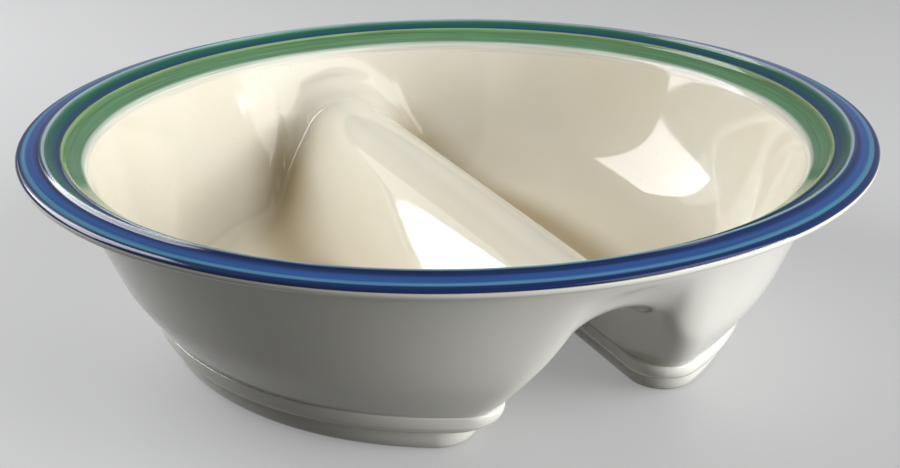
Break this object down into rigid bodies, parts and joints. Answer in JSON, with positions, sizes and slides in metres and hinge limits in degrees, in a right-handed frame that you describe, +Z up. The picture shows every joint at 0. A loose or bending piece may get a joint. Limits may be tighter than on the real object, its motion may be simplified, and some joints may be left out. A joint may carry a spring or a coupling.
{
  "type": "divided serving bowl",
  "caption": "Round stoneware serving bowl with a hollow divider between its wells, a wide banded rim and stepped feet.",
  "frame": {"origin": "centre of the bowl on the table", "axes": "+Z up, +Y along the divider, +X across it towards the right well"},
  "size_m": [0.28, 0.28, 0.0732],
  "materials": {
    "cream_glaze": "clear glossy glaze over cream stoneware",
    "foot_clay": "glossy glaze over cream stoneware, wiped bare on the resting face",
    "blue_glaze": "glossy blue glaze with brushed streaks",
    "pale_blue_glaze": "glossy blue glaze, thin and pale where it breaks over the bead",
    "teal_glaze": "glossy glaze running from blue through teal to green",
    "pale_green_glaze": "glossy green glaze, thin and pale where it breaks over the bead",
    "green_glaze": "glossy green glaze that fades into the cream"
  },
  "bodies": {
    "root": {"left_well": "cream_glaze", "right_well": "cream_glaze", "divider": "cream_glaze", "rim_flange": "cream_glaze", "left_foot": "foot_clay", "right_foot": "foot_clay", "blue_rim_glaze": "blue_glaze", "outer_bead_glaze": "pale_blue_glaze", "teal_band_glaze": "teal_glaze", "inner_bead_glaze": "pale_green_glaze", "green_band_glaze": "green_glaze"}
  },
  "joints": []
}
